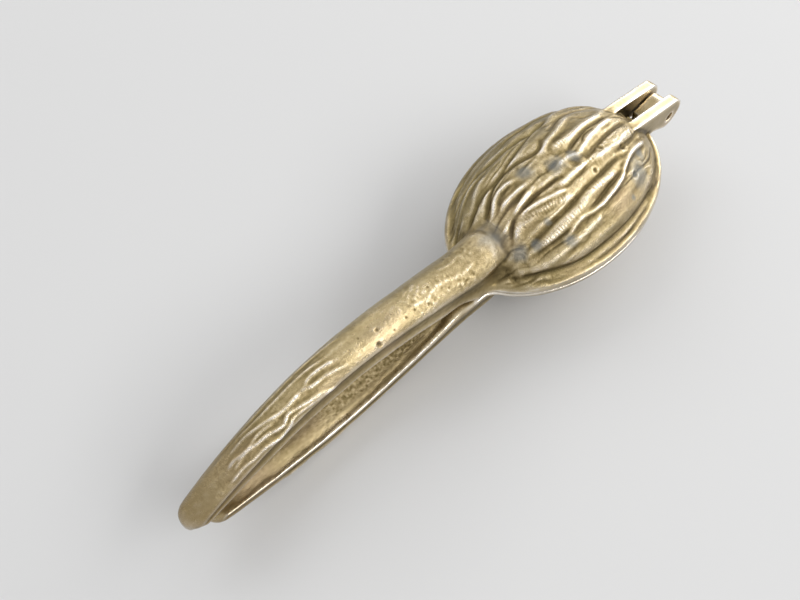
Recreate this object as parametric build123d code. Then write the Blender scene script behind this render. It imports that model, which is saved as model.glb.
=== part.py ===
"""Cast brass walnut nutcracker: two castings like half walnuts on twig handles, hinged on one pin.

Millimetres, +Z up. X runs along the tool with the hinge at the +X end, and the pin lies along Y.
The closed tool is level: the lower shell's belly touches z = 0, and the origin is under the middle.
Each arm is drawn about the split plane, which its lift then raises to half the tool's height.
Each shell has a small flat where it lies on a table, level with the handle's back.
"""
import os
from math import atan, degrees, pi, sin, sqrt

from build123d import *

# Whole tool
overall_length = 150.0
rest_gap = 0.30

# Half walnut shells
shell_length = 58.6
shell_width = 39.2
shell_height = 15.5
shell_wall = 2.6
shell_flat = 0.25
shell_to_pin = 8.4
lip_reach = 0.7
lip_height = 1.7
lip_round = 0.6
neck_flare = 4.0
neck_run = 3.2

# Handles
stem_overlap = 8.0
neck_past_shell = 0.4
neck_width = 11.6
tip_width = 7.8
neck_depth = 9.2
grip_depth = 6.6
tip_depth = 3.0
side_share = 0.32
grip_bow = 6.6
grip_sway = 1.8
bow_ease = 1.25
section_count = 12
nose_run = 4.2
groove_rim = 1.5
groove_depth = 1.0
groove_end_gap = 9.0
lower_handle_short = 4.0

# Hinge
pin_diameter = 2.4
pin_recess = 0.8
running_clearance = 0.05
ear_thickness = 2.7
ear_gap = 4.0
ear_round = 4.0
ear_offset = 1.0
ear_root_height = 9.2
ear_root_run = 17.0
tongue_thickness = 3.4
tongue_round = 3.1
tongue_root_drop = 8.4
knuckle_sweep = 7.1

# Places that follow from the sizes
half_gap = rest_gap / 2
pin_x = overall_length / 2 - ear_round
tip_x = -overall_length / 2
shell_x = pin_x - shell_to_pin - shell_length / 2
neck_x = shell_x - shell_length / 2 - neck_past_shell
clevis_width = ear_gap + 2 * ear_thickness


def half_egg(long, wide, high):
    """Half an egg over the split plane: the cap of a body turned about an axis below that plane."""
    radius = (wide ** 2 / 4 + high ** 2) / (2 * high)
    drop = radius - high
    reach = long / 2 / sqrt(1 - (drop / radius) ** 2)
    upper_half = Pos(0, radius) * Rectangle(4 * reach, 2 * radius)
    profile = Plane.XZ * (Ellipse(reach, radius) & upper_half)
    body = Pos(shell_x, 0, -drop) * revolve(profile, Axis.X)
    return body & space_above(0)


def space_above(level):
    """A block that holds everything above a level."""
    size = 2 * overall_length
    return Pos(0, 0, level) * Box(size, size, size, align=(Align.CENTER, Align.CENTER, Align.MIN))


def inner_height(share):
    """Height of the handle's inner face over the split plane, from the neck (0) to the tip (1)."""
    return half_gap + grip_bow * sin(pi * share) ** bow_ease


def depth(share):
    """Thickness of the handle, from the neck (0) to the tip (1)."""
    thicker_neck = (neck_depth - grip_depth) * (1 - share) ** 4
    thinner_tip = (grip_depth - tip_depth) * share ** 6
    return grip_depth + thicker_neck - thinner_tip


def width(share):
    """Width of the handle, from the neck (0) to the tip (1)."""
    return neck_width + (tip_width - neck_width) * share


def sway(share):
    """How far the handle's middle bends to the side, from the neck (0) to the tip (1)."""
    return grip_sway * sin(0.75 * pi * share) ** 0.8


def place(share):
    """X of a section of the handle, from the neck (0) to the tip (1)."""
    return neck_x + (tip_x - neck_x) * share


def table_slope():
    """Slope of a table that lies against the flat of the shell and just touches the handle's back."""
    steps = 100
    slopes = []
    for step in range(1, steps):
        share = step / steps
        drop = shell_height - shell_flat - inner_height(share) - depth(share)
        slopes.append(drop / (shell_x - place(share)))
    return min(slopes)


def table_side():
    """What lies beyond that table: the cutter for the small flat that the shell rests on."""
    size = 2 * overall_length
    beyond = Box(size, size, size, align=(Align.CENTER, Align.CENTER, Align.MIN))
    return Pos(shell_x, 0, shell_height - shell_flat) * Rot(0, -degrees(atan(table_slope())), 0) * beyond


def across(x):
    """A plane across the tool, with Y to its right and Z up."""
    return Plane(origin=(x, 0, 0), x_dir=(0, 1, 0), z_dir=(1, 0, 0))


def handle_section(x, foot, crown, wide, middle=0.0):
    """A flat inner face, two low sides and a round back."""
    left = middle - wide / 2
    right = middle + wide / 2
    shoulder = foot + side_share * (crown - foot)
    outline = Line((left, foot), (right, foot))
    outline += Line((right, foot), (right, shoulder))
    outline += ThreePointArc((right, shoulder), (middle, crown), (left, shoulder))
    outline += Line((left, shoulder), (left, foot))
    return across(x) * make_face(outline)


def groove_section(share):
    """The shallow hollow along the inner face of the handle."""
    left = sway(share) - width(share) / 2 + groove_rim
    right = sway(share) + width(share) / 2 - groove_rim
    foot = inner_height(share) - 0.3
    outline = ThreePointArc((left, foot), (sway(share), foot + groove_depth + 0.3), (right, foot))
    outline += Line((right, foot), (right, foot - 1))
    outline += Line((right, foot - 1), (left, foot - 1))
    outline += Line((left, foot - 1), (left, foot))
    return across(place(share)) * make_face(outline)


def handle(short):
    """The stem out of the shell and the bowed grip, with its round nose and hollow inner face."""
    buried = handle_section(neck_x + stem_overlap, half_gap, 0.8 * neck_depth, neck_width / 2)
    thumb = handle_section(neck_x + 0.65 * stem_overlap, half_gap, neck_depth + 0.7, 0.88 * neck_width)
    sections = [buried, thumb]
    for step in range(section_count + 1):
        share = step / section_count
        foot = inner_height(share)
        crown = foot + depth(share)
        sections.append(handle_section(place(share), foot, crown, width(share), sway(share)))
    grip = loft(sections)
    return (grip & nose(short) & space_above(half_gap)) - groove()


def nose(short):
    """A tall block with the round plan of the handle's tip, which may end short."""
    middle = tip_x + short + nose_run
    share = (neck_x - middle) / (neck_x - tip_x)
    tip = Pos(middle, sway(share)) * Ellipse(nose_run, width(share) / 2 + 0.02)
    rest = Pos(middle, 0) * Rectangle(overall_length, 2 * neck_width, align=(Align.MIN, Align.CENTER))
    return extrude(tip + rest, 2 * shell_height)


def groove():
    """The cutter for the hollow inner face of the handle."""
    first = groove_end_gap / (neck_x - tip_x)
    steps = 8
    sections = []
    for step in range(steps + 1):
        share = first + (1 - 2 * first) * step / steps
        sections.append(groove_section(share))
    return loft(sections)


def lip():
    """The raised rim around the shell, with hollow corners where it runs out into the neck."""
    rim = Pos(shell_x, 0) * Ellipse(shell_length / 2 + lip_reach, shell_width / 2 + lip_reach)
    root = Rectangle(stem_overlap, neck_width, align=(Align.MIN, Align.CENTER))
    plan = rim + Pos(neck_x - neck_run, 0) * root
    corners = [v for v in plan.vertices() if neck_x - neck_run + 0.5 < v.X < shell_x - 10]
    plan = fillet(corners, neck_flare)
    plate = Pos(0, 0, half_gap) * extrude(plan, lip_height)
    return fillet(plate.edges().group_by(Axis.Z)[-1], lip_round)


def bowl():
    """The hollow for the nut."""
    return half_egg(shell_length - 2 * shell_wall, shell_width - 2 * shell_wall, shell_height - shell_wall)


def half_walnut(short=0.0):
    """One arm without its hinge: shell, lip and handle over the split plane."""
    shell = half_egg(shell_length, shell_width, shell_height) & space_above(half_gap)
    shell -= table_side()
    return shell + lip() + handle(short) - bowl()


def ear_plan():
    """Side view of an ear: it slopes down from the shell to a round end about the pin."""
    end = Pos(pin_x, ear_offset) * Circle(ear_round)
    root_x = pin_x - ear_root_run
    web = make_face(
        Polyline(
            (root_x, half_gap),
            (root_x, ear_root_height),
            (pin_x + 0.8, ear_offset + ear_round - 0.1),
            (pin_x - 1.5, ear_offset - ear_round + 0.3),
            (pin_x - knuckle_sweep + 0.5, half_gap),
            close=True,
        )
    )
    return end + web


def tongue_plan():
    """Side view of the tongue: a round knuckle about the pin on a root that runs into the shell."""
    end = Pos(pin_x, 0) * Circle(tongue_round)
    root_x = pin_x - ear_root_run
    web = make_face(
        Polyline(
            (root_x, -half_gap),
            (pin_x - knuckle_sweep + 0.2, -half_gap),
            (pin_x - knuckle_sweep + 0.5, 0.75 * tongue_round),
            (pin_x, tongue_round),
            (pin_x + 0.5, -tongue_round + 0.1),
            (root_x, -tongue_root_drop),
            close=True,
        )
    )
    return end + web


def slab(side_view, low_y, high_y):
    """A side view drawn in X and Z, made solid between two values of Y."""
    upright = Plane(origin=(0, high_y, 0), x_dir=(1, 0, 0), z_dir=(0, -1, 0))
    return extrude(upright * side_view, high_y - low_y)


def cross_pin(diameter, length):
    """A rod along Y at the hinge."""
    return Pos(pin_x, 0, 0) * Rot(90, 0, 0) * Cylinder(diameter / 2, length)


def upper_arm():
    """The casting with the two ears."""
    plan = ear_plan()
    ears = slab(plan, ear_gap / 2, ear_gap / 2 + ear_thickness)
    ears += slab(plan, -ear_gap / 2 - ear_thickness, -ear_gap / 2)
    ears -= bowl()
    bore = cross_pin(pin_diameter, 2 * clevis_width)
    return half_walnut() + ears - bore


def lower_arm():
    """The casting with the tongue."""
    tongue = slab(tongue_plan(), -tongue_thickness / 2, tongue_thickness / 2)
    tongue -= mirror(bowl(), about=Plane.XY)
    bore = cross_pin(pin_diameter + 2 * running_clearance, 2 * clevis_width)
    return mirror(half_walnut(lower_handle_short), about=Plane.XY) + tongue - bore


def hinge_pin():
    """The plain pin, driven into both ears and a little below their faces."""
    return cross_pin(pin_diameter, clevis_width - 2 * pin_recess)


upper = upper_arm()
lower = lower_arm()
lift = Pos(0, 0, -lower.bounding_box().min.Z)
pieces = {
    "upper_arm": lift * upper,
    "lower_arm": lift * lower,
    "hinge_pin": lift * hinge_pin(),
}

os.makedirs("parts", exist_ok=True)
for name, piece in pieces.items():
    export_step(piece, os.path.join("parts", name + ".step"))
    box = piece.bounding_box()
    print(name, len(piece.solids()), "solid(s),", round(piece.volume / 1000, 2), "cm3")
    print("   x", round(box.min.X, 2), round(box.max.X, 2), "y", round(box.min.Y, 2), round(box.max.Y, 2))
    print("   z", round(box.min.Z, 2), round(box.max.Z, 2), "valid", piece.is_valid)
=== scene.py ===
"""Looks of the cast brass walnut nutcracker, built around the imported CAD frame.

Each arm is a fine copy of its CAD solid with softened edges and the relief of the casting: walnut ridges
on the shell, bark on the handle, and an as-cast grain where nothing ever rubbed it. The relief is worked
out in millimetres about the split plane, the same way for both arms, and moves the vertices themselves.

A fade is written (none, full): the value where an effect has gone, and the value where it is whole.
Layers of noise are written (height, size of the lumps in mm, seed).
"""
import math

import bpy
import numpy as np
from mathutils import Matrix, Vector

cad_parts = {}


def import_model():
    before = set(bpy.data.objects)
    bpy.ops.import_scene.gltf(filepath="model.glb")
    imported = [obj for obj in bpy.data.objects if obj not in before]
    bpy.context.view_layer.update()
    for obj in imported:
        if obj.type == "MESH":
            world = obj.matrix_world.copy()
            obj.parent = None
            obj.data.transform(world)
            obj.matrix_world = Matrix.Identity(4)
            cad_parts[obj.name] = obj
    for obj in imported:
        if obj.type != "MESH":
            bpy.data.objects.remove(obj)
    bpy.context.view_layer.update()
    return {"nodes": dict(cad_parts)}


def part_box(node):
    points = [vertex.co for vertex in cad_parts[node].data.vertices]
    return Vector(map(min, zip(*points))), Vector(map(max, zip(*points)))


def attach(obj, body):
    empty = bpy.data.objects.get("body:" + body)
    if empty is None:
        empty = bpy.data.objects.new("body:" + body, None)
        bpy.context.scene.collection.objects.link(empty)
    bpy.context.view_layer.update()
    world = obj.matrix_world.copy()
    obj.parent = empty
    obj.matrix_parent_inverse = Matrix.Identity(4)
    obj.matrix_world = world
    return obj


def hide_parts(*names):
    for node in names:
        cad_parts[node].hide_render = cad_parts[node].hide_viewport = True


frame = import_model()

MM = 0.001

# The casting, in millimetres, as the CAD has it
pin_low, pin_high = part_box("hinge_pin")
SPLIT_Z = (pin_low[2] + pin_high[2]) / 2 / MM
SHELL_X = 33.3
SHELL_LENGTH = 58.6
SHELL_WIDTH = 39.2
SHELL_HEIGHT = 15.5
SHELL_RADIUS = (SHELL_WIDTH ** 2 / 4 + SHELL_HEIGHT ** 2) / (2 * SHELL_HEIGHT)
SHELL_DROP = SHELL_RADIUS - SHELL_HEIGHT
SHELL_REACH = SHELL_LENGTH / 2 / math.sqrt(1 - (SHELL_DROP / SHELL_RADIUS) ** 2)
SHELL_FLAT = 0.25
HALF_GAP = 0.15
NECK_X = 3.6
TIP_X = -75.0
NECK_WIDTH = 11.6
TIP_WIDTH = 7.8
NECK_DEPTH = 9.2
GRIP_DEPTH = 6.6
TIP_DEPTH = 3.0
STEM_OVERLAP = 8.0
GROOVE_END = 9.0
SIDE_SHARE = 0.32
GRIP_BOW = 6.6
GRIP_SWAY = 1.8
BOW_EASE = 1.25

# The table lies against the flat of the lower shell and just touches the lower handle's back
TABLE_SLOPE = 0.0260

# Size of the castings' quads, in millimetres
FINE_VOXEL = 0.26

# How far the noise of the other arm lies from the first arm's
LOWER_SEED = 200


# ---------------------------------------------------------------- numbers over the surface

def smooth(none, full, value):
    """0 up to none, 1 from full on and an even ease between them. Either may be the larger number."""
    t = np.clip((value - none) / (full - none), 0, 1)
    return t * t * (3 - 2 * t)


def hump(distance, width):
    """1 at no distance, falling away on both sides over about `width`."""
    return np.exp(-(distance / width) ** 2)


def lattice(ix, iy, iz, seed):
    """A repeatable number from 0 to 1 for each point of a whole-number grid. The primes mix the bits."""
    mixed = (ix * 73856093) ^ (iy * 19349663) ^ (iz * 83492791) ^ (seed * 40503 + 977)
    mixed = ((mixed ^ (mixed >> 13)) * 1274126177) & 0x7FFFFFFF
    mixed = ((mixed ^ (mixed >> 15)) * 22695477) & 0x7FFFFFFF
    return (mixed >> 8 & 0xFFFF) / 65535.0


def noise(points, size, seed):
    """Smooth noise from -1 to 1 with lumps about `size` millimetres across."""
    scaled = points / size
    cell = np.floor(scaled).astype(np.int64)
    part = scaled - cell
    ease = part * part * (3 - 2 * part)
    total = np.zeros(len(points))
    for dx in (0, 1):
        wx = ease[:, 0] if dx else 1 - ease[:, 0]
        for dy in (0, 1):
            wy = ease[:, 1] if dy else 1 - ease[:, 1]
            for dz in (0, 1):
                wz = ease[:, 2] if dz else 1 - ease[:, 2]
                value = lattice(cell[:, 0] + dx, cell[:, 1] + dy, cell[:, 2] + dz, seed)
                total += wx * wy * wz * value
    return 2 * total - 1


def layered(points, layers, seed=0):
    """Layers of noise, added up."""
    total = np.zeros(len(points))
    for height, size, own_seed in layers:
        total += height * noise(points, size, own_seed + seed)
    return total


# ---------------------------------------------------------------- meshes

# Each round of relaxing smooths by the first share and swells back by the second
RELAX_ROUNDS = 3
RELAX_SMOOTH = 0.55
RELAX_SWELL = 0.50

# Share of the way to its neighbours that a melted vertex goes in a round
MELT_STEP = 0.6
MELT_LEAST = 0.001


def fine_copy(node, name, voxel):
    """A new object with the node's shape as an even, closed mesh of small quads."""
    source = frame["nodes"][node]
    piece = bpy.data.objects.new(name, source.data.copy())
    bpy.context.scene.collection.objects.link(piece)
    remesh = piece.modifiers.new("even", "REMESH")
    remesh.mode = "VOXEL"
    remesh.voxel_size = voxel * MM
    remesh.adaptivity = 0
    bpy.context.view_layer.update()
    graph = bpy.context.evaluated_depsgraph_get()
    piece_mesh = bpy.data.meshes.new_from_object(piece.evaluated_get(graph))
    piece.modifiers.clear()
    piece.data = piece_mesh
    piece_mesh.name = name
    piece_mesh.materials.clear()
    return piece


def coordinates(mesh):
    """The mesh's vertices in millimetres."""
    flat = np.zeros(len(mesh.vertices) * 3)
    mesh.vertices.foreach_get("co", flat)
    return flat.reshape(-1, 3) / MM


def normals_of(mesh):
    """The vertices' normals."""
    flat = np.zeros(len(mesh.vertices) * 3)
    mesh.vertices.foreach_get("normal", flat)
    return flat.reshape(-1, 3)


def edges_of(mesh):
    """The two vertices of each edge."""
    pairs = np.zeros(len(mesh.edges) * 2, np.int64)
    mesh.edges.foreach_get("vertices", pairs)
    return pairs.reshape(-1, 2)


def move_vertices(mesh, points):
    """Puts the vertices at these millimetres."""
    mesh.vertices.foreach_set("co", (points * MM).ravel())
    mesh.update()


def float_attribute(mesh, name, values):
    """Gives each vertex a number that the material reads by name."""
    layer = mesh.attributes.new(name, "FLOAT", "POINT")
    layer.data.foreach_set("value", values.astype(np.float32))


def neighbour_mean(values, pairs, count):
    """For each vertex the mean of its neighbours' values."""
    share = np.bincount(pairs.ravel(), minlength=count)[:, None]
    total = np.zeros_like(values)
    for axis in range(values.shape[1]):
        total[:, axis] += np.bincount(pairs[:, 0], values[pairs[:, 1], axis], count)
        total[:, axis] += np.bincount(pairs[:, 1], values[pairs[:, 0], axis], count)
    return total / np.maximum(share, 1)


def relaxed(points, pairs):
    """Rounds the corners off, without shrinking the whole."""
    count = len(points)
    for _ in range(RELAX_ROUNDS):
        points = points + RELAX_SMOOTH * (neighbour_mean(points, pairs, count) - points)
        points = points - RELAX_SWELL * (neighbour_mean(points, pairs, count) - points)
    return points


def melted(points, pairs, place, rounds):
    """Smooths the points where place is over 0, as far as it is near 1."""
    some = pairs[(place > MELT_LEAST)[pairs].any(1)]
    used, index = np.unique(some, return_inverse=True)
    links = index.reshape(-1, 2)
    part = points[used]
    share = MELT_STEP * np.where(place > MELT_LEAST, place, 0)[used][:, None]
    for _ in range(rounds):
        part = part + share * (neighbour_mean(part, links, len(part)) - part)
    points = points.copy()
    points[used] = part
    return points


# ---------------------------------------------------------------- places on a casting

def shell_point(x, degrees):
    """Points on the outer shell, at these degrees round from the crown."""
    girth = SHELL_RADIUS * np.sqrt(np.clip(1 - ((x - SHELL_X) / SHELL_REACH) ** 2, 0, 1))
    angle = np.radians(degrees)
    return np.stack([x, girth * np.sin(angle), girth * np.cos(angle) - SHELL_DROP], -1)


def from_shell_spot(local, x, degrees):
    """Distance of each point from a spot on the outer shell."""
    spot = shell_point(np.array([float(x)]), np.array([float(degrees)]))[0]
    return np.linalg.norm(local - spot, axis=1)


def shell_frame(local):
    """Degrees round from the crown, and height off the outer shell."""
    x, y, h = local.T
    thinnest = 0.02
    girth = SHELL_RADIUS * np.sqrt(np.clip(1 - ((x - SHELL_X) / SHELL_REACH) ** 2, thinnest, 1))
    angle = np.degrees(np.arctan2(y, h + SHELL_DROP))
    return angle, np.hypot(y, h + SHELL_DROP) - girth


def grip_frame(x):
    """The handle's middle, half width, foot and depth at x."""
    share = np.clip((NECK_X - x) / (NECK_X - TIP_X), 0, 1)
    middle = GRIP_SWAY * np.sin(0.75 * math.pi * share) ** 0.8
    half = (NECK_WIDTH + (TIP_WIDTH - NECK_WIDTH) * share) / 2
    foot = HALF_GAP + GRIP_BOW * np.sin(math.pi * share) ** BOW_EASE
    thicker_neck = (NECK_DEPTH - GRIP_DEPTH) * (1 - share) ** 4
    thinner_tip = (GRIP_DEPTH - TIP_DEPTH) * share ** 6
    return middle, half, foot, GRIP_DEPTH + thicker_neck - thinner_tip


def grip_point(x, share):
    """Points on the handle's round back, at a share of its half width from its middle."""
    middle, half, foot, depth = grip_frame(x)
    aside = share * half
    rise = (1 - SIDE_SHARE) * depth
    radius = (half ** 2 + rise ** 2) / (2 * rise)
    z = foot + depth - radius + np.sqrt(np.maximum(radius ** 2 - aside ** 2, 0))
    return np.stack([x, middle + aside, z], 1)


def table_height(x):
    """How far the table under the tool lies from the split plane."""
    return SHELL_HEIGHT - SHELL_FLAT + TABLE_SLOPE * (x - SHELL_X)


# How far the handle's worn crown leans to the side, as a share of its half width
CROWN_LEAN = 0.1

# How far the stem reaches past the handle's width and length where it sinks into the shell, in millimetres
STEM_MARGIN = 1.0

# The edges of each place: a measure of measures() and its fade
PLACES = {
    # relief
    "shell": [("off", -1.2, -0.6), ("h", 1.2, 2.5), ("x", 58.5, 53), ("x", NECK_X - 0.5, NECK_X + 3)],
    "off_stem": [("stem", 0.8, 1.35)],
    "bowl": [("off", -1.2, -1.9), ("x", NECK_X + 1, NECK_X + 4), ("x", 66, 63)],
    "back": [("x", NECK_X + 7.0, NECK_X + 4.5), ("up", 0.30, 0.55), ("facing", 0.1, 0.4)],
    "crown": [("from_crown", 0.85, 0.55)],
    "veined": [("x", -24, -34), ("x", -70, -63)],
    "neck_end": [("x", -20, -8)],
    "side": [("x", NECK_X + 7.0, NECK_X + 4.5), ("aside", 0.80, 0.95),
             ("up", 0.75, 0.45), ("up", 0.05, 0.40)],
    "inner_strip": [("x", NECK_X + 7.0, NECK_X + 4.5), ("facing", -0.2, -0.6), ("aside", 0.94, 0.80),
                    ("x", -6, -14), ("aside", 0.55, 0.20)],
    "strip_near_neck": [("x", -44, -34)],
    # kept still
    "above_split": [("h", 0.05, 0.45)],
    "hinge": [("x", 61.0, 63.5)],
    # melted
    "stem_foot": [("off", -1.2, -0.6), ("x", -3, 3), ("x", 17, 13), ("h", 1.6, 3.4), ("y", 11, 8.5)],
    "flare": [("x", -8, -4), ("x", 12, 8), ("y", 3.0, 4.5), ("y", 14, 11.5),
              ("h", 0.9, 1.5), ("h", 6.5, 5.0)],
    "lip": [("off", -1.2, -0.6), ("x", 8, 11), ("x", 62, 58), ("h", 0.5, 1.0), ("h", 4.5, 3.2)],
    "rim": [("x", 2, -5), ("aside", 0.46, 0.62), ("up", 0.62, 0.45)],
    "groove_ends": [("up", 0.45, 0.30), ("h", 0.2, 0.45), ("aside", 0.95, 0.80)],
    "groove": [("x", -8, -18), ("up", 0.42, 0.30), ("h", 0.2, 0.45), ("aside", 1.0, 0.9)],
    "tip": [("x", -66, -71), ("up", 0.15, 0.35)],
    # painted olive shade
    "shell_for_shade": [("x", NECK_X - 2, NECK_X + 6), ("x", 62, 56)],
    "shade_left": [("angle", 2, 48)],
    "shade_right": [("angle", -46, -64), ("x", 50, 38)],
    "shade_grip": [("share", -0.35, 0.35), ("up", 0.2, 0.5), ("x", NECK_X + 4, NECK_X - 6)],
    "shade_hinge_gap": [("x", 57, 60), ("x", 67.5, 65), ("y", 2.15, 1.95)],
}


def measures(local, outward=None):
    """What the edges of the places are measured by, at each point."""
    x, y, h = local.T
    angle, off = shell_frame(local)
    middle, half, foot, depth = grip_frame(x)
    share = (y - middle) / half
    return {
        "x": x,                                     # along the tool, mm
        "y": np.abs(y),                             # off the middle plane, to either side, mm
        "h": h,                                     # off the split plane, mm
        "angle": angle,                             # round from the shell's crown, degrees
        "off": off,                                 # outside the outer shell, mm
        "share": share,                             # off the handle's middle, of its half width
        "aside": np.abs(share),                     # the same to either side
        "from_crown": np.abs(share + CROWN_LEAN),   # the same from its worn crown
        "up": (h - foot) / depth,                   # off the handle's inner face, of its depth
        # off the middle of the stem where it sinks into the shell, 1 at its edge
        "stem": np.hypot(y / (half + STEM_MARGIN), np.clip(x - NECK_X, 0, None) / STEM_OVERLAP),
        # how squarely the surface faces away from the split plane
        "facing": None if outward is None else outward[:, 2],
    }


def inside(at, place):
    """1 inside a place, 0 outside it, with its edges faded."""
    share = np.ones(len(at["x"]))
    for measure, none, full in PLACES[place]:
        share *= smooth(none, full, at[measure])
    return share


# ---------------------------------------------------------------- relief of the casting

# Ridges (+) and furrows (-) of the walnut: height and half width in mm, how strong the cross hatching on it
# is, then its course as (x in mm, degrees round from the crown)
WALNUT_STROKES = [
    (-0.62, 0.75, 0.0, [(7, 61), (15, 54), (25, 42), (35, 35), (42, 34)]),
    (-0.58, 0.70, 0.0, [(9, 27), (16, 29), (22, 26), (32, 30), (39, 36)]),
    (0.50, 0.85, 0.0, [(14, 34), (18, 36), (22, 36)]),
    (0.42, 0.70, 0.0, [(11, 44), (20, 46), (31, 40)]),
    (0.60, 0.75, 0.0, [(13, 7), (17, 15), (20, 15), (23, 11)]),
    (0.50, 0.70, 0.3, [(15, 5), (18, 6), (24, 3)]),
    (0.60, 0.70, 0.0, [(15, -8), (18, -4), (23, -1)]),
    (0.52, 0.60, 0.0, [(16, -7), (21, -11), (29, -19)]),
    (0.55, 1.30, 0.9, [(12, -20), (16, -14), (22, -17), (29, -23)]),
    (0.55, 1.25, 0.9, [(15, -36), (21, -34), (27, -32), (33, -29), (41, -31)]),
    (0.70, 0.70, 0.0, [(21, -41), (26, -38), (33, -39), (40, -36), (47, -29), (55, -31)]),
    (0.50, 1.00, 0.4, [(15, -49), (23, -47), (32, -44)]),
    (0.45, 1.60, 0.0, [(11, -46), (21, -55), (31, -55), (42, -56), (53, -52)]),
    (-0.60, 0.90, 0.0, [(9, -50), (19, -62), (29, -64), (38, -64), (49, -64)]),
    (0.62, 1.00, 0.5, [(29, 10), (34, 14), (40, 18), (45, 25)]),
    (0.55, 1.20, 1.0, [(32, 8), (39, 7), (48, 9), (55, 17)]),
    (0.55, 1.20, 1.0, [(37, -17), (46, -16), (55, -15)]),
    (0.55, 0.85, 0.4, [(36, -6), (44, -1), (53, 2)]),
    (0.52, 0.80, 0.0, [(40, 31), (46, 38), (52, 42), (57, 32)]),
    (0.40, 0.70, 0.6, [(29, -3), (33, -3), (37, -6)]),
    (0.45, 0.80, 0.9, [(26, -14), (30, -13), (36, -14), (42, -16)]),
    (-0.60, 0.70, 0.0, [(12, 12), (18, 23), (24, 23), (31, 15), (34, 19)]),
    (-0.58, 0.65, 0.0, [(12, -20), (15, -8), (21, -6), (27, -8), (29, -10)]),
    (-0.42, 0.70, 0.0, [(13, -32), (19, -28), (25, -27), (31, -25), (36, -25), (44, -25)]),
    (-0.38, 0.70, 0.0, [(13, -39), (22, -39), (29, -38), (37, -34), (44, -34)]),
    (-0.50, 0.60, 0.0, [(35, 0), (43, 5), (50, 6)]),
    (-0.50, 0.60, 0.0, [(37, -11), (45, -8), (55, -6)]),
    (-0.45, 0.60, 0.0, [(38, 22), (46, 31), (55, 30)]),
    (-0.45, 0.60, 0.0, [(44, -21), (52, -22), (57, -20)]),
    (-0.50, 0.70, 0.0, [(12, 71), (24, 64), (36, 60), (48, 58)]),
    (0.40, 1.00, 0.0, [(16, 62), (28, 53), (40, 48), (50, 50)]),
]
WALNUT_TAPER = 3.0
WALNUT_BLUNT = 0.25

# Fine rungs across the hatched ridges
HATCH_HEIGHT = 0.040
HATCH_PITCH = 0.72
HATCH_WANDER = [(4.0, 1.1, 11)]
HATCH_PATCHES = [(1, 1.6, 13)]
HATCH_FADE = (-0.35, 0.30)
HATCH_SHARE = 0.75

# Small folds that a formula draws between the strokes: how many fit in half a turn, and their height.
# They give way to a stroke over somewhat more than its width.
FOLD_FLOW = (0.30, 1, 1)
FOLD_SWAY = [(7.0, 3.4, 3), (3.0, 1.6, 5)]
FOLD_LUMPS = [(0.12, 1.0, 7)]
FOLDS = 12.5
FOLD_HEIGHT = 0.42
FOLD_ROUND = 0.75
FOLD_MEAN = 0.60
FINE_FOLDS = 27.0
FINE_FOLD_HEIGHT = 0.14
FINE_FOLD_SWAY = 1.6
FINE_FOLD_PATCHES = [(1, 2.2, 9)]
FINE_FOLD_FADE = (-0.2, 0.4)
FOLDS_GIVE_WAY = 0.75
FOLDS_GIVE_WAY_REACH = 1.9

# Small casting dimples of the shell: x, degrees round from the crown, radius, depth
WALNUT_DIMPLES = [
    (29.5, 0, 1.5, 0.26), (34.0, -8, 1.2, 0.18), (36.1, -21, 0.55, 0.16), (46.9, -22, 0.75, 0.22),
    (41.5, -12, 0.60, 0.18), (44.6, -42, 0.70, 0.20), (53.0, -18, 0.80, 0.18),
]
# The low wall about a dimple: its share of the depth, its place and its width in the dimple's radius
DIMPLE_WALL = 0.35
DIMPLE_WALL_AT = 1.5
DIMPLE_WALL_WIDTH = 0.45

# Raised veins of the bark: height, half width, then the course as (x in mm, share of the half width)
BARK_STROKES = [
    (0.30, 0.44, [(-33.5, -0.19), (-37.3, -0.04), (-40.2, -0.03), (-42.2, -0.20)]),
    (0.30, 0.46, [(-33.0, -0.58), (-37.3, -0.41), (-40.5, -0.35), (-42.4, -0.22)]),
    (0.30, 0.44, [(-42.2, -0.20), (-47.6, -0.25), (-51.9, -0.02), (-55.9, 0.19), (-61.0, 0.20)]),
    (0.34, 0.46, [(-38.5, -0.80), (-44.5, -0.60), (-47.5, -0.49), (-49.5, -0.64), (-52.7, -0.47),
                  (-55.3, -0.39), (-60.4, -0.17), (-62.8, -0.24)]),
    (0.30, 0.44, [(-36.3, -0.91), (-42.6, -0.78), (-46.8, -0.71), (-48.5, -0.80), (-51.3, -0.86),
                  (-54.5, -0.73), (-57.4, -0.71), (-60.0, -0.63), (-64.0, -0.65)]),
    (0.22, 0.40, [(-50.0, -0.30), (-54.0, -0.18), (-58.0, -0.30), (-62.0, -0.42)]),
    (0.22, 0.36, [(-35.0, 0.20), (-42.0, 0.35), (-50.0, 0.34), (-58.0, 0.48)]),
    (0.20, 0.36, [(-30.0, 0.55), (-40.0, 0.66), (-52.0, 0.62), (-62.0, 0.70)]),
    (0.13, 0.50, [(3.8, -0.33), (-0.6, -0.43), (-6.6, -0.26), (-10.6, -0.42), (-15.5, -0.36)]),
    (0.11, 0.45, [(2.2, -0.10), (1.9, 0.23), (-1.1, 0.15), (-5.0, 0.30)]),
]
BARK_TAPER = 2.0
BARK_BLUNT = 0.2
BARK_NIBBLE = [(0.3, 1.6, 17)]
BARK_NIBBLE_MEAN = 0.85

# Casting pits in the bark: x, share of the half width, radius
BARK_PITS = [
    (-24.9, -0.74, 0.50), (-23.5, -0.28, 0.35), (-16.8, -0.55, 0.25), (-14.2, -0.50, 0.20),
    (-20.5, -0.66, 0.22), (-11.0, -0.60, 0.22), (-27.5, -0.10, 0.20), (-8.5, -0.10, 0.25),
    (-5.0, -0.55, 0.22),
]
PIT_DEPTH = 0.6

# How far from a stroke's middle it is worked out, in its half widths
STROKE_REACH = 4

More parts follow.
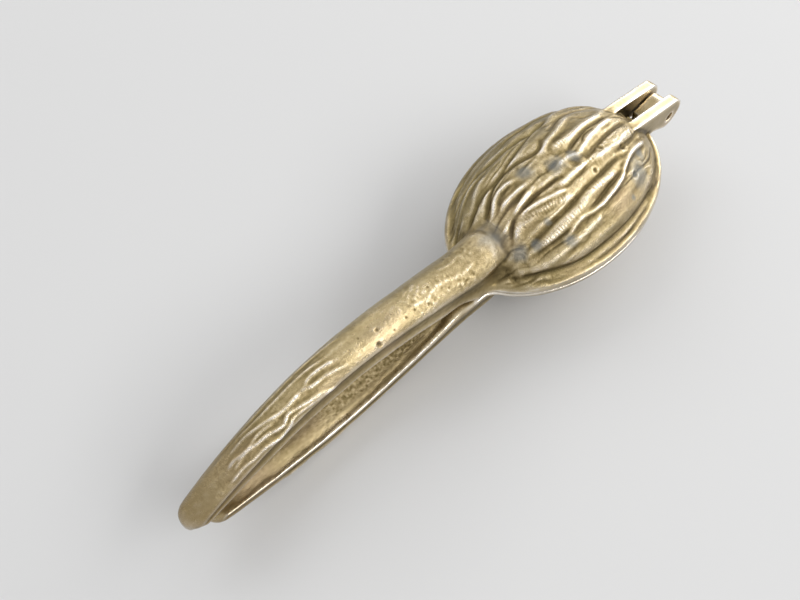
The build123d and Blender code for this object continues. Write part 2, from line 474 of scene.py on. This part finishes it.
# How far the ridges as a whole, and the handle's sides, sink into the solid, in millimetres
RIDGE_SINK = 0.12
SIDE_SINK = 0.60

# As-cast unevenness: inside the bowl, along the handle's back, by the neck, inside the handle and all over
BOWL_CAST = [(0.10, 2.6, 31), (0.05, 0.9, 33)]
FIBRE_FLOW = (0.22, 1, 1)
FIBRE = [(0.10, 1.3, 41), (0.05, 0.6, 43)]
FIBRE_SHARE = 0.12
FIBRE_ON_CROWN = 0.2
FIBRE_IN_VEINS = 0.25
CRUST = [(0.070, 0.9, 45), (0.055, 0.5, 47)]
CRUST_PATCHES = [(1, 4.0, 49)]
CRUST_FADE = (-0.45, 0.15)
STRIP_CAST = [(0.05, 0.8, 51), (0.045, 0.5, 53)]
STRIP_LEAST = 0.15
SKIN = [(0.018, 0.7, 61), (0.03, 3.0, 63)]

# How grainy the metal looks, from 0 to 1
GRAIN_SHELL = 0.75
GRAIN_STRIP = 0.9
GRAIN_BACK = 0.15
GRAIN_CROWN = 0.15
GRAIN_NECK_END = 0.5
GRAIN_VEINED = 0.35

# The hinge is left as the CAD has it, out to this far from the middle plane
HINGE_HALF_WIDTH = 5.6

# Where the casting is smoothed, and for how many rounds
SOFT_PLACES = [
    (40, "stem_foot"), (90, "flare"), (14, "lip"), (80, "rim"),
    (70, "groove_ends"), (140, "groove"), (50, "tip"),
]
GROOVE_END_WIDTH = 3.5


def course(points, steps=8):
    """A smooth line through a few points (Catmull-Rom)."""
    given = np.array(points, float)
    padded = np.vstack([2 * given[0] - given[1], given, 2 * given[-1] - given[-2]])
    line = []
    for i in range(1, len(padded) - 2):
        before, start, end, after = padded[i - 1:i + 3]
        for t in np.arange(steps) / steps:
            line.append(
                0.5 * (2 * start + (end - before) * t
                       + (2 * before - 5 * start + 4 * end - after) * t ** 2
                       + (3 * start - before - 3 * end + after) * t ** 3)
            )
    line.append(given[-1])
    return np.array(line)


def along_line(points, line, reach):
    """For the points within reach of a line in space: which they are, their distance from it, their place
    along it, and its length."""
    low = line.min(0) - reach
    high = line.max(0) + reach
    near = np.flatnonzero(((points > low) & (points < high)).all(1))
    distance = np.full(len(near), np.inf)
    place = np.zeros(len(near))
    run = 0.0
    here = points[near]
    for start, end in zip(line[:-1], line[1:]):
        step = end - start
        length = np.linalg.norm(step)
        share = np.clip((here - start) @ step / length ** 2, 0, 1)
        gap = np.linalg.norm(here - start - share[:, None] * step, axis=1)
        closer = gap < distance
        distance[closer] = gap[closer]
        place[closer] = run + share[closer] * length
        run += length
    return near, distance, place, run


def tapered(place, run, taper):
    """1 along a line and 0 at its two ends."""
    return smooth(0, taper, place) * smooth(0, taper, run - place)


def folds(local, angle, seed):
    """Height of the small folds of the walnut, in millimetres."""
    flow = local * np.array(FOLD_FLOW)
    sway = layered(flow, FOLD_SWAY, seed)
    fold = np.abs(np.sin(np.radians(angle + sway) * FOLDS))
    fine_fold = np.abs(np.sin(np.radians(angle + FINE_FOLD_SWAY * sway) * FINE_FOLDS))
    height = FOLD_HEIGHT * (fold ** FOLD_ROUND - FOLD_MEAN) + layered(flow, FOLD_LUMPS, seed)
    patches = smooth(*FINE_FOLD_FADE, layered(flow, FINE_FOLD_PATCHES, seed))
    return height + FINE_FOLD_HEIGHT * (fine_fold - FOLD_MEAN) * patches


def walnut(local, angle, seed):
    """Height of the walnut's ridges and furrows, in millimetres."""
    taken = np.zeros(len(local))
    raised = np.zeros(len(local))
    for lift, half_width, hatching, points in WALNUT_STROKES:
        line = course(points)
        path = shell_point(line[:, 0], line[:, 1])
        near, distance, place, run = along_line(local, path, STROKE_REACH * half_width)
        ends = tapered(place, run, WALNUT_TAPER)
        ridge = hump(distance, half_width) * (WALNUT_BLUNT + (1 - WALNUT_BLUNT) * ends)
        rungs = np.sin(place * 2 * math.pi / HATCH_PITCH + layered(local[near], HATCH_WANDER))
        patches = smooth(*HATCH_FADE, layered(local[near], HATCH_PATCHES))
        patches = patches * hump(distance, HATCH_SHARE * half_width)
        raised[near] += lift * ridge + HATCH_HEIGHT * hatching * patches * rungs * ends
        taken[near] = np.maximum(taken[near], hump(distance, FOLDS_GIVE_WAY_REACH * half_width))
    height = folds(local, angle, seed) * (1 - FOLDS_GIVE_WAY * taken) + raised
    for x, degrees, radius, depth in WALNUT_DIMPLES:
        reach = from_shell_spot(local, x, degrees) / radius
        wall = DIMPLE_WALL * hump(reach - DIMPLE_WALL_AT, DIMPLE_WALL_WIDTH)
        height += depth * (wall - hump(reach, 1))
    return height


def bark(local):
    """Height of the veins on the back of the handle, in millimetres."""
    height = np.zeros(len(local))
    for lift, half_width, points in BARK_STROKES:
        line = course(points)
        path = grip_point(line[:, 0], line[:, 1])
        near, distance, place, run = along_line(local, path, STROKE_REACH * half_width)
        ends = BARK_BLUNT + (1 - BARK_BLUNT) * tapered(place, run, BARK_TAPER)
        nibble = BARK_NIBBLE_MEAN + layered(local[near], BARK_NIBBLE)
        height[near] += lift * nibble * hump(distance, half_width) * ends
    return height


def pits(local):
    """Depth of the casting pits in the back of the handle, in millimetres."""
    x, y, _ = local.T
    middle, half, _, _ = grip_frame(x)
    depth = np.zeros(len(local))
    for pit_x, pit_share, radius in BARK_PITS:
        reach = np.hypot(x - pit_x, y - (middle + pit_share * half))
        depth += PIT_DEPTH * radius * hump(reach, radius)
    return depth


def relief(local, outward, seed):
    """How far each vertex moves along its normal, in millimetres, and how rough the casting is there."""
    at = measures(local, outward)

    # The shell: the stem stays clear of ridges, and the small flat that the CAD rests on is filled
    by_stem = at["x"] < NECK_X + STEM_OVERLAP + STEM_MARGIN
    on_shell = inside(at, "shell") * np.where(by_stem, inside(at, "off_stem"), 1)
    filled = np.clip(-at["off"], 0, 2 * SHELL_FLAT)
    move = on_shell * (walnut(local, at["angle"], seed) - RIDGE_SINK + filled)
    in_bowl = inside(at, "bowl")
    move += in_bowl * layered(local, BOWL_CAST)

    # The handle's back: veins towards the tip, a crust near the neck, and fibres along all of it
    back = inside(at, "back")
    crown = inside(at, "crown")
    veined = inside(at, "veined")
    neck_end = inside(at, "neck_end")
    fibre = layered(local * np.array(FIBRE_FLOW), FIBRE, seed)
    crusted = back * crown * neck_end * smooth(*CRUST_FADE, layered(local, CRUST_PATCHES, seed))
    move += back * fibre * (FIBRE_SHARE + crown * (FIBRE_ON_CROWN + FIBRE_IN_VEINS * veined))
    move += crusted * layered(local, CRUST, seed)
    move += back * (bark(local) - pits(local))

    # The handle's sides and its inner face
    move -= SIDE_SINK * inside(at, "side")
    strip = inside(at, "inner_strip") * (STRIP_LEAST + (1 - STRIP_LEAST) * inside(at, "strip_near_neck"))
    move += strip * layered(local, STRIP_CAST, seed)

    move += layered(local, SKIN, seed)
    grainy_crown = crown * (GRAIN_CROWN + GRAIN_NECK_END * neck_end + GRAIN_VEINED * veined)
    grain = GRAIN_SHELL * on_shell + GRAIN_STRIP * strip + back * (GRAIN_BACK + grainy_crown) + in_bowl

    # Nothing moves on the split faces, in the hinge or about the pin
    in_hinge = inside(at, "hinge") * (at["y"] < HINGE_HALF_WIDTH)
    return move * inside(at, "above_split") * (1 - in_hinge), np.clip(grain, 0, 1)


def with_soft_places(points, local, pairs):
    """Blends the stem and the lip into the shell, and rounds the handle's edges, its hollow and its tip."""
    at = measures(local)
    ends = [hump(at["x"] - end, GROOVE_END_WIDTH) for end in (NECK_X - GROOVE_END, TIP_X + GROOVE_END)]
    by_groove_end = np.minimum(sum(ends), 1)
    for rounds, name in SOFT_PLACES:
        place = inside(at, name)
        if name == "groove_ends":
            place = place * by_groove_end
        points = melted(points, pairs, place, rounds)
    return points


# ---------------------------------------------------------------- what the material reads

# Grey tarnish: x, degrees round from the crown, radius
TARNISH_SPOTS = [
    (30.5, -2, 2.2), (35, -4, 1.6), (50, -34, 1.7), (46, -44, 3.0), (40.5, -52, 0.7), (21.5, -44, 1.5),
    (20, -25, 0.9), (25, 10, 2.2), (15.5, -33, 1.2), (10, -4, 3.4), (12, -30, 2.0),
]
TARNISH_EDGE = [(0.35, 1.4, 71)]

# Painted olive shade: its strength right of the shell's crown and on the handle, and its unevenness
SHADE_RIGHT = 0.55
SHADE_GRIP = 0.55
SHADE_MEAN = 0.85
SHADE_CLOUDS = [(0.3, 5.0, 83)]

# Wear is how far a vertex stands proud of its surroundings: rounds of averaging, and the weight of each
WEAR_RINGS = ((2, 5.0), (8, 2.2), (24, 0.9))
WEAR_PERCENTILES = (3, 97)


def tarnish(local):
    """Grey-blue bloom, from 0 to 1."""
    bloom = np.zeros(len(local))
    uneven = 1 + layered(local, TARNISH_EDGE)
    for x, degrees, radius in TARNISH_SPOTS:
        bloom = np.maximum(bloom, hump(from_shell_spot(local, x, degrees) * uneven, radius))
    return bloom


def painted_shade(local):
    """Painted olive shade, from 0 to 1: on the shell's flank towards +y, low on its other flank by the
    neck, on the handle's back towards +y and in the hinge's root between the ears and the tongue.
    """
    at = measures(local)
    on_shell = inside(at, "shell_for_shade")
    flank = np.maximum(inside(at, "shade_left"), SHADE_RIGHT * inside(at, "shade_right"))
    shade_share = on_shell * flank + (1 - on_shell) * SHADE_GRIP * inside(at, "shade_grip")
    shade_share = np.maximum(shade_share, inside(at, "shade_hinge_gap"))
    return shade_share * (SHADE_MEAN + layered(local, SHADE_CLOUDS))


def wear_of(mesh, points, pairs):
    """Wear from 0, in the furrows, to 1, on the ridges."""
    outward = normals_of(mesh)
    wear = np.zeros(len(points))
    around = points
    for rounds, weight in WEAR_RINGS:
        for _ in range(rounds):
            around = neighbour_mean(around, pairs, len(points))
        wear += weight * ((points - around) * outward).sum(1)
    low, high = np.percentile(wear, WEAR_PERCENTILES)
    return np.clip((wear - low) / (high - low), 0, 1)


def about_split(points, side):
    """The points from the split plane outwards, the same for the upper arm (1) and the lower one (-1)."""
    return points * np.array([1, 1, side]) - np.array([0, 0, side * SPLIT_Z])


def casting(node, name, side, voxel, seed):
    """The node's arm with its edges softened and its relief raised."""
    piece = fine_copy(node, name, voxel)
    mesh = piece.data
    pairs = edges_of(mesh)
    points = relaxed(coordinates(mesh), pairs)
    points = with_soft_places(points, about_split(points, side), pairs)
    move_vertices(mesh, points)

    outward = normals_of(mesh)
    local = about_split(points, side)
    height, grain = relief(local, outward * np.array([1, 1, side]), seed)
    points = points + outward * height[:, None]
    if side < 0:
        points[:, 2] = np.maximum(points[:, 2], SPLIT_Z - table_height(points[:, 0]))
    move_vertices(mesh, points)
    mesh.polygons.foreach_set("use_smooth", np.ones(len(mesh.polygons), bool))

    float_attribute(mesh, "wear", wear_of(mesh, points, pairs))
    float_attribute(mesh, "grain", grain)
    float_attribute(mesh, "tarnish", tarnish(local))
    # Painted shade, passed to the material as a number for each vertex
    float_attribute(mesh, "painted_shade", painted_shade(local))
    return piece


# ---------------------------------------------------------------- materials

# The brass from its furrows to its ridges, then what lies over it
BRASS_BY_WEAR = [
    (0.00, (0.095, 0.070, 0.030)),
    (0.26, (0.25, 0.190, 0.088)),
    (0.50, (0.49, 0.392, 0.222)),
    (0.74, (0.76, 0.655, 0.480)),
    (1.00, (0.98, 0.920, 0.83)),
]
ROSY_BRASS = (0.56, 0.42, 0.31)
DULL_BRASS = (0.27, 0.205, 0.095)
# The colour of the painted olive shade
OLIVE_SHADE = (0.20, 0.158, 0.068)
# The colour of the painted dark reflection at the handle's tip
TIP_SHADE_BROWN = (0.26, 0.185, 0.088)
GREY_BLOOM = (0.19, 0.20, 0.195)

# Where the painted brown reflection towards the handle's tip starts and where it is whole, in metres
TIP_SHADE_FROM = -0.050
TIP_SHADE_TO = -0.072

RUSTY_STEEL = [(0.3, (0.05, 0.042, 0.03)), (0.7, (0.20, 0.16, 0.11))]


class Tree:
    """A short way to write a material's nodes."""

    def __init__(self, name):
        self.material = bpy.data.materials.new(name)
        self.material.use_nodes = True
        self.tree = self.material.node_tree
        self.shader = self.tree.nodes["Principled BSDF"]

    def link(self, value, socket):
        """Feeds a socket from another node, or with a plain value."""
        if isinstance(value, bpy.types.NodeSocket):
            self.tree.links.new(value, socket)
        else:
            socket.default_value = value

    def attribute(self, name):
        """A number that the mesh's vertices carry."""
        made = self.tree.nodes.new("ShaderNodeAttribute")
        made.attribute_name = name
        return made.outputs["Fac"]

    def place(self, stretch=(1, 1, 1)):
        """The place on the object in metres. A small share along an axis draws patterns out along it."""
        where = self.tree.nodes.new("ShaderNodeTexCoord")
        scaled = self.tree.nodes.new("ShaderNodeVectorMath")
        scaled.operation = "MULTIPLY"
        scaled.inputs[1].default_value = stretch
        self.tree.links.new(where.outputs["Object"], scaled.inputs[0])
        return scaled.outputs[0]

    def coordinate(self, where, axis):
        """One axis of a place."""
        made = self.tree.nodes.new("ShaderNodeSeparateXYZ")
        self.tree.links.new(where, made.inputs[0])
        return made.outputs[axis]

    def noise(self, where, scale, detail=3.0, rough=0.6):
        """Noise from 0 to 1, with this many lumps to the metre."""
        made = self.tree.nodes.new("ShaderNodeTexNoise")
        made.inputs["Scale"].default_value = scale
        made.inputs["Detail"].default_value = detail
        made.inputs["Roughness"].default_value = rough
        self.tree.links.new(where, made.inputs["Vector"])
        return made.outputs["Fac"]

    def math(self, operation, a, b=0.0):
        """One step of arithmetic."""
        made = self.tree.nodes.new("ShaderNodeMath")
        made.operation = operation
        self.link(a, made.inputs[0])
        self.link(b, made.inputs[1])
        return made.outputs[0]

    def varied(self, base, pattern, amount):
        """The base, made higher and lower by a pattern that runs from 0 to 1."""
        swing = self.math("MULTIPLY", self.math("SUBTRACT", pattern, 0.5), amount)
        return self.math("ADD", base, swing)

    def span(self, value, low, high, to_low=0.0, to_high=1.0):
        """The value's range from low to high, laid onto another range."""
        made = self.tree.nodes.new("ShaderNodeMapRange")
        made.inputs["From Min"].default_value = low
        made.inputs["From Max"].default_value = high
        made.inputs["To Min"].default_value = to_low
        made.inputs["To Max"].default_value = to_high
        self.link(value, made.inputs["Value"])
        return made.outputs[0]

    def ramp(self, value, stops):
        """Colours by value, each stop as (value, colour)."""
        made = self.tree.nodes.new("ShaderNodeValToRGB")
        marks = made.color_ramp.elements
        while len(marks) < len(stops):
            marks.new(0.5)
        for mark, (at, colour) in zip(marks, stops):
            mark.position = at
            mark.color = (*colour, 1)
        self.link(value, made.inputs["Fac"])
        return made.outputs["Color"]

    def tinted(self, base, tint, share, strength):
        """The base with a colour over it."""
        made = self.tree.nodes.new("ShaderNodeMix")
        made.data_type = "RGBA"
        self.link(self.math("MULTIPLY", share, strength), made.inputs["Factor"])
        self.link(base, made.inputs["A"])
        self.link((*tint, 1), made.inputs["B"])
        return made.outputs["Result"]

    def bump(self, height, strength, distance):
        """Makes the surface look as uneven as the height, over this distance in metres."""
        made = self.tree.nodes.new("ShaderNodeBump")
        made.inputs["Strength"].default_value = strength
        made.inputs["Distance"].default_value = distance
        self.link(height, made.inputs["Height"])
        self.tree.links.new(made.outputs["Normal"], self.shader.inputs["Normal"])


def brass():
    """Old cast brass, worn yellow on the high places and olive brown in the furrows."""
    t = Tree("aged_brass")
    where = t.place()
    cloud = t.noise(where, 70, 4)
    fleck = t.noise(where, 900, 4, 0.7)
    grit = t.noise(where, 2600, 3, 0.7)
    streak = t.noise(t.place((0.25, 1, 1)), 420, 3)
    rosy = t.span(t.noise(where, 45, 2), 0.52, 0.72)
    dulled = t.span(t.noise(t.place((0.12, 1, 1)), 260, 3), 0.50, 0.68)
    brown = t.span(t.coordinate(where, "X"), TIP_SHADE_FROM, TIP_SHADE_TO)
    grain = t.attribute("grain")
    bloom = t.span(t.attribute("tarnish"), 0.15, 0.85)

    worn = t.varied(t.attribute("wear"), cloud, 0.45)
    worn = t.varied(worn, fleck, t.span(grain, 0, 1, 0.08, 0.55))
    worn = t.varied(worn, streak, 0.14)
    metal = t.ramp(worn, BRASS_BY_WEAR)
    metal = t.tinted(metal, ROSY_BRASS, rosy, 0.30)
    metal = t.tinted(metal, DULL_BRASS, dulled, 0.38)
    # Painted shade: olive darkening on one flank of the shell, on one side of the handle and in the hinge's
    # root
    metal = t.tinted(metal, OLIVE_SHADE, t.attribute("painted_shade"), 0.80)
    # Painted reflection: the handle turns browner towards its tip
    metal = t.tinted(metal, TIP_SHADE_BROWN, brown, 0.60)
    metal = t.tinted(metal, GREY_BLOOM, bloom, 0.66)
    t.link(metal, t.shader.inputs["Base Color"])
    t.shader.inputs["Metallic"].default_value = 1.0

    rough = t.varied(t.span(worn, 0.1, 0.95, 0.42, 0.15), fleck, 0.25)
    rough = t.math("ADD", rough, t.math("MULTIPLY", bloom, 0.10))
    t.link(rough, t.shader.inputs["Roughness"])
    height = t.math("ADD", t.math("MULTIPLY", fleck, grain), t.math("MULTIPLY", streak, 0.25))
    height = t.math("ADD", height, t.math("MULTIPLY", grit, t.span(grain, 0, 1, 0.12, 0.75)))
    t.bump(height, 0.85, 0.00034)
    return t.material


def dark_steel():
    """The old pin: dull, with a little brown rust."""
    t = Tree("pin_steel")
    spots = t.noise(t.place(), 900, 4)
    t.link(t.ramp(spots, RUSTY_STEEL), t.shader.inputs["Base Color"])
    t.shader.inputs["Metallic"].default_value = 1.0
    t.link(t.span(spots, 0.3, 0.7, 0.38, 0.6), t.shader.inputs["Roughness"])
    t.bump(spots, 0.4, 0.0001)
    return t.material


# ---------------------------------------------------------------- the object

brass_material = brass()
voxel = FINE_VOXEL
upper = casting("upper_arm", "upper_casting", 1, voxel, 0)
lower = casting("lower_arm", "lower_casting", -1, voxel, LOWER_SEED)
for piece, body, node in ((upper, "upper", "upper_arm"), (lower, "lower", "lower_arm")):
    piece.data.materials.append(brass_material)
    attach(piece, body)
    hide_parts(node)

pin = frame["nodes"]["hinge_pin"]
pin.data.materials.clear()
pin.data.materials.append(dark_steel())


# ---------------------------------------------------------------- floor, light and camera

# Brightness of what is seen behind the object, and of the world's light on it
BACKGROUND = 0.72
WORLD_LIGHT = 0.52

# The floor turns into that background between these distances, in metres
FLOOR_COLOUR = (0.66, 0.66, 0.66)
FLOOR_HALF = 3.0
FLOOR_FADE = (0.30, 1.10)

# Soft lamps: place, width and height in metres, and watts
LAMP_AIM = (0, 0, 0.015)
LAMPS = {
    "soft_high": ((0.15, 0.95, 0.95), (1.2, 0.9), 4.5),
    "soft_hinge": ((1.25, -0.05, 0.52), (1.3, 0.8), 11.0),
    "soft_side": ((0.48, -1.00, 0.80), (1.2, 0.55), 9.5),
}

# The camera, as it was fitted to the photograph
CAMERA_PLACE = Vector((-0.0756, -0.0663, 0.1852))
CAMERA_RIGHT = Vector((0.7026, -0.7106, -0.0368))
CAMERA_FORWARD = Vector((0.332, 0.373, -0.867))
CAMERA_SENSOR = 36
CAMERA_LENS = 40.5


def seen_directly(tree):
    """1 for what the camera, a reflection or a clear piece shows, and 0 for the light on the object."""
    path = tree.nodes.new("ShaderNodeLightPath")
    seen = path.outputs["Is Camera Ray"]
    for ray in ("Is Glossy Ray", "Is Transmission Ray"):
        either = tree.nodes.new("ShaderNodeMath")
        either.operation = "MAXIMUM"
        tree.links.new(seen, either.inputs[0])
        tree.links.new(path.outputs[ray], either.inputs[1])
        seen = either.outputs[0]
    return seen


def pale_floor():
    """A pale matt surface that turns into the plain background far from the object."""
    t = Tree("pale_floor")
    t.shader.inputs["Base Color"].default_value = (*FLOOR_COLOUR, 1)
    t.shader.inputs["Roughness"].default_value = 0.9
    t.shader.inputs["Specular IOR Level"].default_value = 0.1
    reach = t.tree.nodes.new("ShaderNodeVectorMath")
    reach.operation = "LENGTH"
    t.link(t.place(), reach.inputs[0])
    far = t.tree.nodes.new("ShaderNodeMapRange")
    far.interpolation_type = "SMOOTHSTEP"
    far.inputs["From Min"].default_value, far.inputs["From Max"].default_value = FLOOR_FADE
    t.link(reach.outputs["Value"], far.inputs["Value"])
    glow = t.tree.nodes.new("ShaderNodeEmission")
    glow.inputs["Strength"].default_value = BACKGROUND
    blend = t.tree.nodes.new("ShaderNodeMixShader")
    t.link(t.math("MULTIPLY", far.outputs[0], seen_directly(t.tree)), blend.inputs[0])
    t.link(t.shader.outputs[0], blend.inputs[1])
    t.link(glow.outputs[0], blend.inputs[2])
    t.link(blend.outputs[0], t.tree.nodes["Material Output"].inputs["Surface"])
    return t.material


def floor():
    """The table, tipped a little so that the lower shell and the lower handle both rest on it."""
    mesh = bpy.data.meshes.new("floor")
    corners = [(-1, -1), (1, -1), (1, 1), (-1, 1)]
    mesh.from_pydata([(FLOOR_HALF * x, FLOOR_HALF * y, 0) for x, y in corners], [], [(0, 1, 2, 3)])
    mesh.materials.append(pale_floor())
    ground = bpy.data.objects.new("floor", mesh)
    bpy.context.scene.collection.objects.link(ground)
    ground.rotation_euler = (0, math.atan(TABLE_SLOPE), 0)
    ground.location = (0, 0, (SPLIT_Z - table_height(0)) * MM)


def lamp(name, place, size, power):
    """A soft rectangular lamp, turned to the object."""
    light = bpy.data.lights.new(name, "AREA")
    light.shape = "RECTANGLE"
    light.size, light.size_y = size
    light.energy = power
    made = bpy.data.objects.new(name, light)
    made.location = place
    made.rotation_euler = (Vector(LAMP_AIM) - Vector(place)).to_track_quat("-Z", "Y").to_euler()
    bpy.context.scene.collection.objects.link(made)


def world():
    """Even light from all round, and a brighter background where it is seen directly."""
    made = bpy.data.worlds.new("studio")
    made.use_nodes = True
    tree = made.node_tree
    sky = tree.nodes["Background"]
    sky.inputs["Color"].default_value = (1, 1, 1, 1)
    strength = tree.nodes.new("ShaderNodeMapRange")
    strength.inputs["To Min"].default_value = WORLD_LIGHT
    strength.inputs["To Max"].default_value = BACKGROUND
    tree.links.new(seen_directly(tree), strength.inputs["Value"])
    tree.links.new(strength.outputs[0], sky.inputs["Strength"])
    bpy.context.scene.world = made


def camera():
    """The photograph's camera."""
    lens = bpy.data.cameras.new("camera")
    lens.sensor_width = CAMERA_SENSOR
    lens.lens = CAMERA_LENS
    lens.clip_start = 0.01
    made = bpy.data.objects.new("camera", lens)
    forward = CAMERA_FORWARD.normalized()
    right = (CAMERA_RIGHT - forward * CAMERA_RIGHT.dot(forward)).normalized()
    turn = Matrix((right, right.cross(forward), -forward)).transposed()
    made.matrix_world = Matrix.Translation(CAMERA_PLACE) @ turn.to_4x4()
    bpy.context.scene.collection.objects.link(made)
    bpy.context.scene.camera = made


floor()
for name, (place, size, power) in LAMPS.items():
    lamp(name, place, size, power)
world()
camera()
bpy.context.scene.view_settings.view_transform = "Standard"
